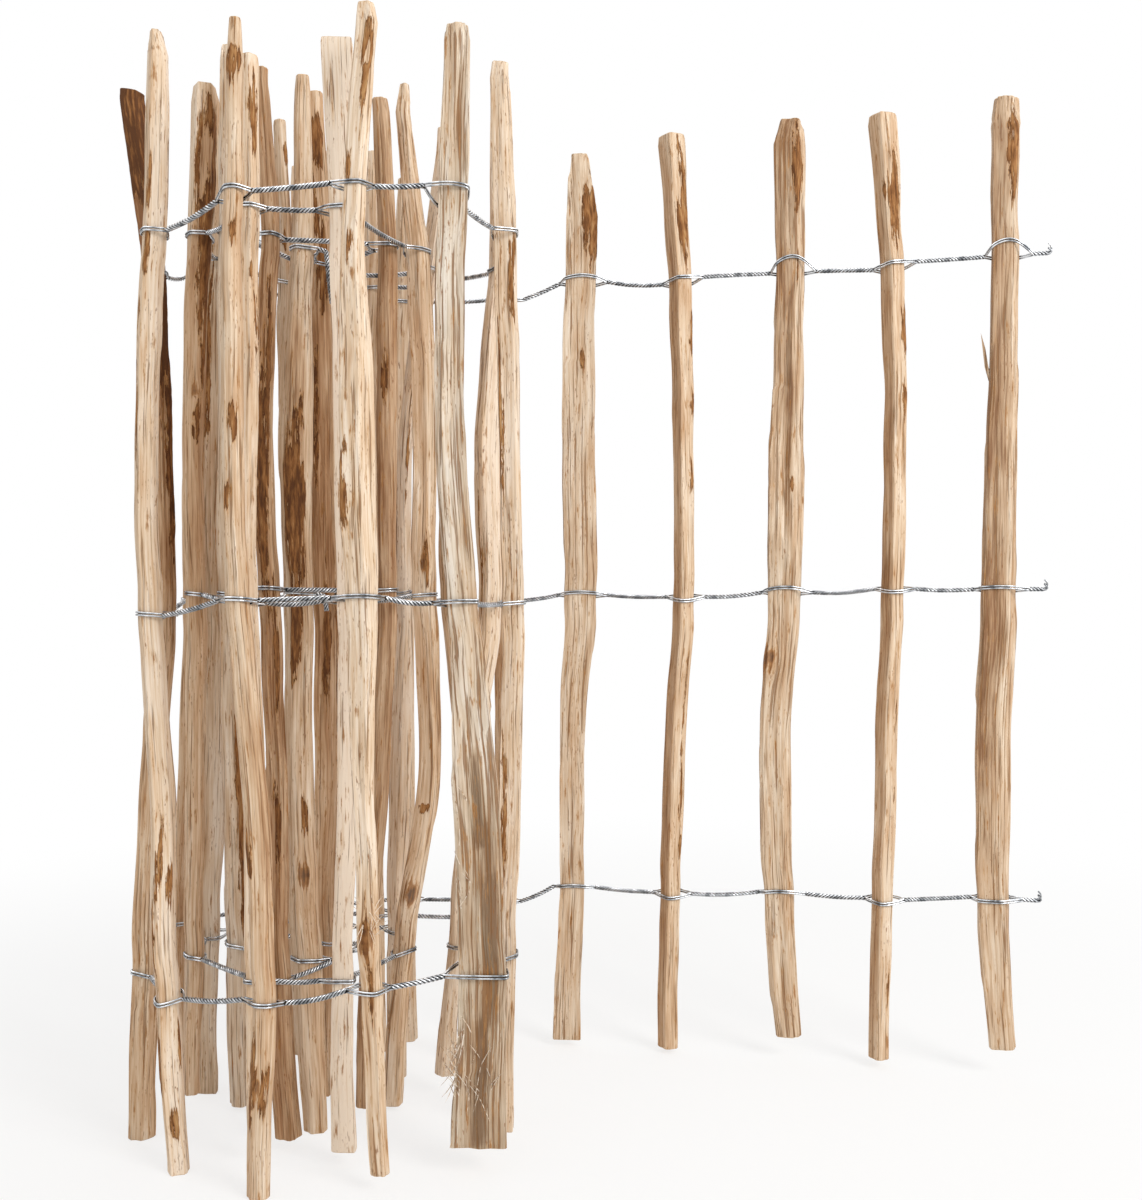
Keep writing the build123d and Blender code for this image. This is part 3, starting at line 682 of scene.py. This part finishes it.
def wire_line(line, settings, drawn):
    """The four wires of one line, from the free end to the core of the roll."""
    thick, lay = settings.thickness / MM, settings.lay / MM
    gap, radius = thick / 2 + GAP, thick * ROPE_RADIUS
    aside = radius * math.sin(math.radians(AROUND[0]))
    names = sorted(LOOKS)
    rings = [corner_rings(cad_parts[name].data)[WIRE_RINGS[line]] for name in names]
    middles = [ring.mean(0) for ring in rings]
    ways = [unit((b - a)[:2]) for a, b in zip(middles, middles[1:])]
    ways = [ways[0], *ways, np.array([-ways[-1][1], ways[-1][0]])]
    passes = [PASSES[line].get(name, Pass()) for name in names]
    points = [split_points(*known, gap) for known in zip(rings, ways, ways[1:], passes)]

    stretches = [free_end(points[0][0], ways[0], radius)]
    for i, (ring, (start, end)) in enumerate(zip(rings, points)):
        stretches.append(past_pale(ring, start, end, ways[i], ways[i + 1], passes[i], i < UNROLLED,
                                   gap, aside))
        if i + 1 < len(rings):
            stop = points[i + 1][0]
            turns = max(1, round(np.linalg.norm(stop - end) / lay)) * (-1) ** i
            bow = (drawn.uniform(-0.8, 0.8), drawn.uniform(-0.8, 0.8), drawn.uniform(-2.2, 0.4))
            stretches.append(rope(end, stop, turns, radius, bow))
    stretches.append(core_end(points[-1][1], ways[-1], TAIL_DROPS[line], radius, lay))
    return [np.vstack(runs) for runs in zip(*stretches)]


def make_wires(line, settings, material):
    """Both pairs of wires of one line, in place of its two CAD strands."""
    wires = wire_line(line, settings, random.Random(WIRE_RINGS[line]))
    for side, pair in (("inner", wires[:2]), ("outer", wires[2:])):
        curve = bpy.data.curves.new(f"{line}_{side}_wire_pair", "CURVE")
        curve.dimensions = "3D"
        curve.bevel_depth = settings.thickness / 2
        curve.bevel_resolution = 2
        curve.use_fill_caps = True
        curve.resolution_u = 1
        for wire in pair:
            spline = curve.splines.new("POLY")
            spline.points.add(len(wire) - 1)
            places = np.hstack([wire * MM, np.ones((len(wire), 1))])
            spline.points.foreach_set("co", places.ravel())
        curve.materials.append(material)
        piece = bpy.data.objects.new(curve.name, curve)
        bpy.context.scene.collection.objects.link(piece)
        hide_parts(f"{line}_wires_{side}")
        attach(piece, "root")


# Materials

def add(tree, kind, inputs=None, stops=None, **settings):
    """Adds a shader node with its settings. An input is a value or another node's output;
    stops are a colour ramp's positions and hex colours."""
    made = tree.nodes.new("ShaderNode" + kind)
    for name, value in settings.items():
        setattr(made, name, value)
    for socket, value in (inputs or {}).items():
        if isinstance(value, bpy.types.NodeSocket):
            tree.links.new(value, made.inputs[socket])
        else:
            made.inputs[socket].default_value = value
    if stops:
        elements = made.color_ramp.elements
        while len(elements) < len(stops):
            elements.new(1.0)
        for element, (position, colour) in zip(elements, stops):
            element.position, element.color = position, linear(colour)
    return made


def calc(tree, operation, *values, **settings):
    """The result of a calculation with values or other nodes' outputs."""
    return add(tree, "Math", dict(enumerate(values)), operation=operation, **settings).outputs[0]


def spread(tree, value, low, high, start, end, **settings):
    """A value that goes from start to end while another goes from low to high."""
    return add(tree, "MapRange", {0: value, 1: low, 2: high, 3: start, 4: end}, **settings).outputs[0]


def mixed(tree, share, first, second):
    """A colour between two, by the second's share."""
    return add(tree, "Mix", {0: share, 6: first, 7: second}, data_type="RGBA").outputs[2]


def blank(kind, name):
    """A new material or world, and its empty node tree."""
    made = kind.new(name)
    made.use_nodes = True
    made.node_tree.nodes.clear()
    return made, made.node_tree


# Patterns in the wood, in millimetres: size across the grain, size along it, and detail. Real
# fibres are far finer, so they are drawn one to two millimetres across to show.
PATTERNS = {
    "fibres": (1.9, 60, 4), "lines": (2.3, 90, 3), "stains": (5, 46, 3), "patches": (16, 90, 2),
    "ragged": (4.5, 16, 4), "shreds": (1.6, 34, 3), "flecks": (1.3, 8, 2), "gate": (16, 45, 1),
    "crust": (2.4, 18, 4), "waver": (14, 120, 2),
}
RING_WIDTH, RING_WAVER = 3.0, 9.0  # of the growth rings, and how far they wander


def growth_rings(tree, grain, waver):
    """Where the dark late wood of each growth ring is. The pith lies outside the pale."""
    level = add(tree, "VectorMath", {0: grain, 1: (1, 1, 0)}, operation="MULTIPLY").outputs[0]
    from_pith = add(tree, "VectorMath", {0: level}, operation="LENGTH").outputs["Value"]
    bent = calc(tree, "MULTIPLY_ADD", waver, RING_WAVER, from_pith)
    wave = calc(tree, "MULTIPLY", bent, 2 * math.pi / RING_WIDTH)
    rings = calc(tree, "SINE", wave)
    return spread(tree, rings, 0.3, 1.0, 0.0, 1.0)


def bare_wood(tree, masks, patterns, latewood):
    """The colour of bare wood from dark brown to cream by the shade mask, which holds the pale's tone and its
    painted shade and light, greyer where it is weathered.
    """
    tone = masks["shade"]
    for pattern, strength, middle in ((patterns["fibres"], 0.95, 0.5), (patterns["patches"], 0.75, 0.5),
                                      (patterns["stains"], 0.55, 0.5), (latewood, -0.13, 0.35)):
        shift = calc(tree, "ADD", pattern, -middle)
        tone = calc(tree, "MULTIPLY_ADD", shift, strength, tone)
    tone = calc(tree, "ADD", tone, 0.6)
    fresh = add(tree, "ValToRGB", {0: tone}, stops=(
        (0.0, "#8B5E3A"), (0.25, "#B68C66"), (0.5, "#D0AC88"), (0.72, "#E2C7A8"),
        (1.0, "#F1DFCA"))).outputs[0]
    silver = add(tree, "ValToRGB", {0: tone}, stops=(
        (0.0, "#83705A"), (0.3, "#B3A28B"), (0.6, "#CFC0AB"), (1.0, "#E8DED0"))).outputs[0]
    greyed = calc(tree, "MULTIPLY", patterns["patches"], masks["weathered"])
    greyed = calc(tree, "MULTIPLY", greyed, 1.5, use_clamp=True)
    return mixed(tree, greyed, fresh, silver)


def torn_wood(tree, wood, masks, patterns):
    """Wood with the gaps between its torn fibres painted dark brown, partly the wood's own dark streaks and
    partly painted shade in the grooves, and short brown flecks; and where the gaps are.
    """
    deep = calc(tree, "MULTIPLY_ADD", masks["fibrous"], -0.05, patterns["lines"])
    # Painted shade, over the grain's own dark streaks: the gaps, which the bump sinks, are painted darker
    # brown.
    gaps = spread(tree, deep, 0.415, 0.345, 0.0, 0.8)
    wood = mixed(tree, gaps, wood, linear("#8A6038"))
    fleck = spread(tree, patterns["flecks"], 0.62, 0.68, 0.0, 1.0)
    gate = spread(tree, patterns["gate"], 0.47, 0.58, 0.0, 0.8)
    fleck = calc(tree, "MULTIPLY", fleck, gate)
    wood = mixed(tree, fleck, wood, linear("#8C5A30"))
    return wood, gaps


def knotted(tree, wood, knot, ragged, shredded):
    """Wood with its knots: brown rings round a dark core, drawn out of round."""
    core = calc(tree, "MULTIPLY_ADD", ragged, 1.7, knot)
    core = calc(tree, "MULTIPLY_ADD", shredded, 1.8, core)
    brown = add(tree, "ValToRGB", {0: core}, stops=(
        (0.25, "#C69C6B"), (0.42, "#A8743F"), (0.62, "#8A5A2E"), (0.9, "#55331A"))).outputs[0]
    ringed = spread(tree, core, 0.2, 0.45, 0.0, 0.85)
    return mixed(tree, ringed, wood, brown)


def barked(tree, wood, masks, crust, ragged, shredded):
    """Wood with its bark and an orange-brown edge of under-bark, and where the bark is."""
    edge = calc(tree, "MULTIPLY_ADD", ragged, 1.1, masks["bark"])
    edge = calc(tree, "MULTIPLY_ADD", shredded, 1.5, edge)
    under = spread(tree, edge, 0.40, 0.50, 0.0, 0.8)
    over = spread(tree, edge, 0.50, 0.54, 0.0, 1.0)
    wood = mixed(tree, under, wood, linear("#BE8A52"))
    # The shade mask, with its painted shade and light, darkens or lightens the bark too.
    crusted = calc(tree, "MULTIPLY_ADD", masks["shade"], 0.3, crust)
    bark = add(tree, "ValToRGB", {0: crusted}, stops=(
        (0.32, "#5E3A1F"), (0.45, "#875931"), (0.56, "#A47345"), (0.72, "#C29867"))).outputs[0]
    rim = spread(tree, edge, 0.53, 0.66, 0.85, 0.0)
    bark = mixed(tree, rim, bark, linear("#4F2D14"))
    return mixed(tree, over, wood, bark), over


def cleft_chestnut(settings):
    """Chestnut split along its grain. The torn fibres give long fine streaks and dark gaps, whose dark
    is partly painted shade in the grooves, the growth rings give soft bands, and where bark is left it is
    dark, ragged and rough."""
    material, tree = blank(bpy.data.materials, "cleft chestnut")
    masks = {name: add(tree, "Attribute", attribute_name=name).outputs["Fac"]
             for name in ("bark", "knot", "shade", "end", "weathered", "fibrous")}
    grain = add(tree, "Attribute", attribute_name="grain").outputs["Vector"]
    patterns = {}
    for name, (across, along, detail) in PATTERNS.items():
        stretched = add(tree, "VectorMath", {0: grain, 1: (1 / across, 1 / across, 1 / along)},
                        operation="MULTIPLY").outputs[0]
        patterns[name] = add(tree, "TexNoise", {
            "Vector": stretched, "Scale": 1.0, "Detail": detail, "Roughness": 0.6}).outputs["Fac"]
    ragged, shredded = (calc(tree, "ADD", patterns[name], -0.5) for name in ("ragged", "shreds"))

    latewood = growth_rings(tree, grain, patterns["waver"])
    wood = bare_wood(tree, masks, patterns, latewood)
    wood, gaps = torn_wood(tree, wood, masks, patterns)
    wood = knotted(tree, wood, masks["knot"], ragged, shredded)

    # End grain: a little darker and duller, with its rings showing
    sawn = mixed(tree, latewood, linear("#DDBF95"), linear("#B98F5E"))
    wood = mixed(tree, masks["end"], wood, sawn)
    colour, over = barked(tree, wood, masks, patterns["crust"], ragged, shredded)

    # Relief: fibres stand up, gaps sink, bark is crusty
    relief = calc(tree, "MULTIPLY_ADD", gaps, -1.2, patterns["fibres"])
    relief = calc(tree, "MULTIPLY_ADD", latewood, 0.15, relief)
    crust = calc(tree, "MULTIPLY", patterns["crust"], over)
    relief = calc(tree, "MULTIPLY_ADD", crust, 1.4, relief)
    bump = add(tree, "Bump", {"Strength": 0.7, "Distance": settings.relief, "Height": relief})
    rough = spread(tree, over, 0.0, 1.0, 0.62, 0.85)
    surface = add(tree, "BsdfPrincipled", {
        "Base Color": colour, "Roughness": rough, "Normal": bump.outputs[0], "IOR": 1.45,
        "Specular IOR Level": 0.3})
    add(tree, "OutputMaterial", {0: surface.outputs[0]})
    return material


def galvanised_steel(settings):
    """Hot-dipped steel wire. The zinc is bright where it is fresh and dulls to a grey oxide in
    soft patches a few millimetres long, and painted shade darkens the grooves between the wires."""
    material, tree = blank(bpy.data.materials, "galvanised steel wire")
    place = add(tree, "TexCoord").outputs["Object"]
    oxide, fine = (add(tree, "TexNoise", {
        "Vector": place, "Scale": 1 / (size * MM), "Detail": detail}).outputs["Fac"]
        for size, detail in ((7, 3.0), (0.8, 2.0)))
    dull = spread(tree, oxide, 0.35, 0.68, 0.0, 1.0)
    colour = mixed(tree, dull, tuple(settings.zinc), tuple(settings.oxide))
    # Painted shade: where ambient occlusion finds the wires close together, in the grooves of the rope and
    # where it lies on the wood, their colour is painted almost black.
    open_side = add(tree, "AmbientOcclusion", {"Distance": 1.5 * settings.thickness},
                    samples=8).outputs["AO"]
    painted_groove_shade = spread(tree, open_side, 0.6, 0.97, 1.0, 0.0)
    colour = mixed(tree, painted_groove_shade, colour, linear("#17181A"))
    rough = spread(tree, oxide, 0.3, 0.7, 0.2, 0.36)
    bump = add(tree, "Bump", {"Strength": 0.35, "Distance": 0.0001, "Height": fine})
    surface = add(tree, "BsdfPrincipled", {
        "Base Color": colour, "Metallic": 1.0, "Roughness": rough, "Normal": bump.outputs[0]})
    add(tree, "OutputMaterial", {0: surface.outputs[0]})
    return material


def white_floor(settings):
    """A matt white studio floor. Near the fence it takes shadows, and further out it turns
    into plain white for the camera and for reflections, so that no horizon shows."""
    material, tree = blank(bpy.data.materials, "matt white floor")
    place = add(tree, "TexCoord").outputs["Object"]
    away = add(tree, "VectorMath", {0: place}, operation="LENGTH").outputs["Value"]
    far = spread(tree, away, 0.5, 1.5, 0.72, 1.0, interpolation_type="SMOOTHSTEP")
    rays = add(tree, "LightPath").outputs
    seen = rays["Is Camera Ray"]
    for ray in ("Is Glossy Ray", "Is Transmission Ray"):
        seen = calc(tree, "MAXIMUM", seen, rays[ray])
    blend = calc(tree, "MULTIPLY", far, seen)
    matt = add(tree, "BsdfDiffuse", {"Color": tuple(settings.floor_colour)})
    glow = add(tree, "Emission", {"Color": (1, 1, 1, 1), "Strength": 1.0})
    surface = add(tree, "MixShader", {0: blend, 1: matt.outputs[0], 2: glow.outputs[0]})
    add(tree, "OutputMaterial", {0: surface.outputs[0]})
    return material


def white_surround(settings):
    """Plain white for the camera, an even fill for the wood, and for the wires a bright sky
    over a dark horizon, as a lamp held above them gives."""
    world, tree = blank(bpy.data.worlds, "studio")
    rays = add(tree, "LightPath").outputs
    way = add(tree, "TexCoord").outputs["Generated"]
    above = add(tree, "VectorMath", {0: way, 1: (0, 0, 1)}, operation="DOT_PRODUCT").outputs["Value"]
    mirrored = spread(tree, above, 0.05, 0.5, 0.1, 2.1)
    level = add(tree, "Mix", {0: rays["Is Camera Ray"], 2: settings.fill, 3: 1.0}).outputs[0]
    level = add(tree, "Mix", {0: rays["Is Glossy Ray"], 2: level, 3: mirrored}).outputs[0]
    sky = add(tree, "Background", {"Color": (1, 1, 1, 1), "Strength": level})
    add(tree, "OutputWorld", {0: sky.outputs[0]})
    return world


# Sizes and colours

class PaleSettings(bpy.types.PropertyGroup):
    row: FloatProperty(name="Row height", description="Distance between rows of points", default=0.005,
                       unit="LENGTH")
    column: FloatProperty(name="Column width", description="Distance between points round a pale",
                          default=0.0024, unit="LENGTH", precision=4)
    edge: FloatProperty(name="End edge", description="Worn edge round a cut end", default=0.0009,
                        unit="LENGTH", precision=4)
    rounding: FloatProperty(name="Arris", description="How far a cleft edge is worn back", default=0.0006,
                            unit="LENGTH", precision=4)
    ridges: FloatProperty(name="Ridges", description="Height of the ridges along the grain", default=0.0005,
                          unit="LENGTH", precision=4)
    tears: FloatProperty(name="Ledges", description="Height of the ledges left by tearing", default=0.0009,
                         unit="LENGTH", precision=4)
    swell: FloatProperty(name="Swell", description="Slow change of thickness", default=0.0010, unit="LENGTH",
                         precision=4)
    sway: FloatProperty(name="Sway", description="Bends between the wires", default=0.0030, unit="LENGTH",
                        precision=4)
    bark: FloatProperty(name="Bark", description="Thickness of the bark that is left", default=0.0008,
                        unit="LENGTH", precision=4)
    relief: FloatProperty(name="Fibre relief", description="Depth of the fine fibre relief", default=0.0008,
                          unit="LENGTH", precision=4)


class WireSettings(bpy.types.PropertyGroup):
    thickness: FloatProperty(name="Wire diameter", description="Diameter of one wire", default=0.0016,
                             unit="LENGTH", precision=4)
    lay: FloatProperty(name="Lay", description="Length of one turn of the twist", default=0.013,
                       unit="LENGTH")
    zinc: FloatVectorProperty(name="Fresh zinc", description="Colour of bright galvanising", subtype="COLOR",
                              size=4, default=linear("#E0E2E5"), min=0, max=1)
    oxide: FloatVectorProperty(name="Dull zinc", description="Colour of oxidised galvanising",
                               subtype="COLOR", size=4, default=linear("#6E7277"), min=0, max=1)


class StudioSettings(bpy.types.PropertyGroup):
    floor_radius: FloatProperty(name="Floor radius", description="Radius of the studio floor", default=12.0,
                                unit="LENGTH")
    floor_colour: FloatVectorProperty(name="Floor colour", description="Colour of the matt floor",
                                      subtype="COLOR", size=4, default=linear("#F7F6F4"), min=0, max=1)
    fill: FloatProperty(name="Fill", description="Level of the light from all round", default=0.72, min=0)
    key: FloatProperty(name="Key", description="Power of the soft lamp", default=52.0, unit="POWER", min=0)
    lens: FloatProperty(name="Lens", description="Focal length of the camera", default=35.16, unit="CAMERA")


# Operators

class FENCE_OT_pales(bpy.types.Operator):
    """Build the 31 cleft pales"""
    bl_idname = "fence.pales"
    bl_label = "Cleft pales"

    def execute(self, context):
        settings = context.scene.fence_pales
        material = cleft_chestnut(settings)
        for number, (node, look) in enumerate(sorted(LOOKS.items()), 1):
            make_pale(node, look, number, settings, material)
        return {"FINISHED"}


class FENCE_OT_wires(bpy.types.Operator):
    """Build the three lines of twisted wire"""
    bl_idname = "fence.wires"
    bl_label = "Twisted wires"

    def execute(self, context):
        settings = context.scene.fence_wires
        material = galvanised_steel(settings)
        for line in WIRE_RINGS:
            make_wires(line, settings, material)
        return {"FINISHED"}


class FENCE_OT_studio(bpy.types.Operator):
    """Add the floor, the light and the camera"""
    bl_idname = "fence.studio"
    bl_label = "Studio"

    def execute(self, context):
        scene, settings = context.scene, context.scene.fence_studio
        bpy.ops.mesh.primitive_circle_add(vertices=96, radius=settings.floor_radius, fill_type="NGON")
        floor = context.object
        floor.name = "studio_floor"
        floor.data.materials.append(white_floor(settings))

        scene.world = white_surround(settings)

        lamp = bpy.data.lights.new("soft key", "AREA")
        lamp.shape, lamp.size, lamp.energy = "DISK", 1.4, settings.key
        key = bpy.data.objects.new("soft key", lamp)
        key.location = (1.9, -1.9, 2.1)
        key.rotation_euler = (Vector((0, 0, 0.45)) - key.location).to_track_quat("-Z", "Y").to_euler()
        scene.collection.objects.link(key)

        lens = bpy.data.cameras.new("camera")
        lens.lens, lens.sensor_width = settings.lens, 36.0
        camera = bpy.data.objects.new("camera", lens)
        camera.location = EYE
        camera.rotation_euler = (math.radians(90), 0, 0)
        scene.collection.objects.link(camera)
        scene.camera = camera
        scene.view_settings.view_transform = "Standard"
        return {"FINISHED"}


class FENCE_PT_panel(bpy.types.Panel):
    """Lists the fence's operators and their settings"""
    bl_idname = "FENCE_PT_panel"
    bl_label = "Paling fence"
    bl_space_type = "VIEW_3D"
    bl_region_type = "UI"
    bl_category = "Paling fence"

    def draw(self, context):
        scene = context.scene
        for operator, group in ((FENCE_OT_pales, scene.fence_pales), (FENCE_OT_wires, scene.fence_wires),
                                (FENCE_OT_studio, scene.fence_studio)):
            box = self.layout.box()
            box.operator(operator.bl_idname)
            for name in group.__annotations__:
                box.prop(group, name)


CLASSES = (PaleSettings, WireSettings, StudioSettings, FENCE_OT_pales, FENCE_OT_wires, FENCE_OT_studio,
           FENCE_PT_panel)


def register():
    for kind in CLASSES:
        bpy.utils.register_class(kind)
    bpy.types.Scene.fence_pales = PointerProperty(type=PaleSettings)
    bpy.types.Scene.fence_wires = PointerProperty(type=WireSettings)
    bpy.types.Scene.fence_studio = PointerProperty(type=StudioSettings)


def unregister():
    for name in ("fence_pales", "fence_wires", "fence_studio"):
        delattr(bpy.types.Scene, name)
    for kind in reversed(CLASSES):
        bpy.utils.unregister_class(kind)


def main():
    register()
    bpy.ops.fence.pales()
    bpy.ops.fence.wires()
    bpy.ops.fence.studio()


if __name__ == "__main__":
    main()
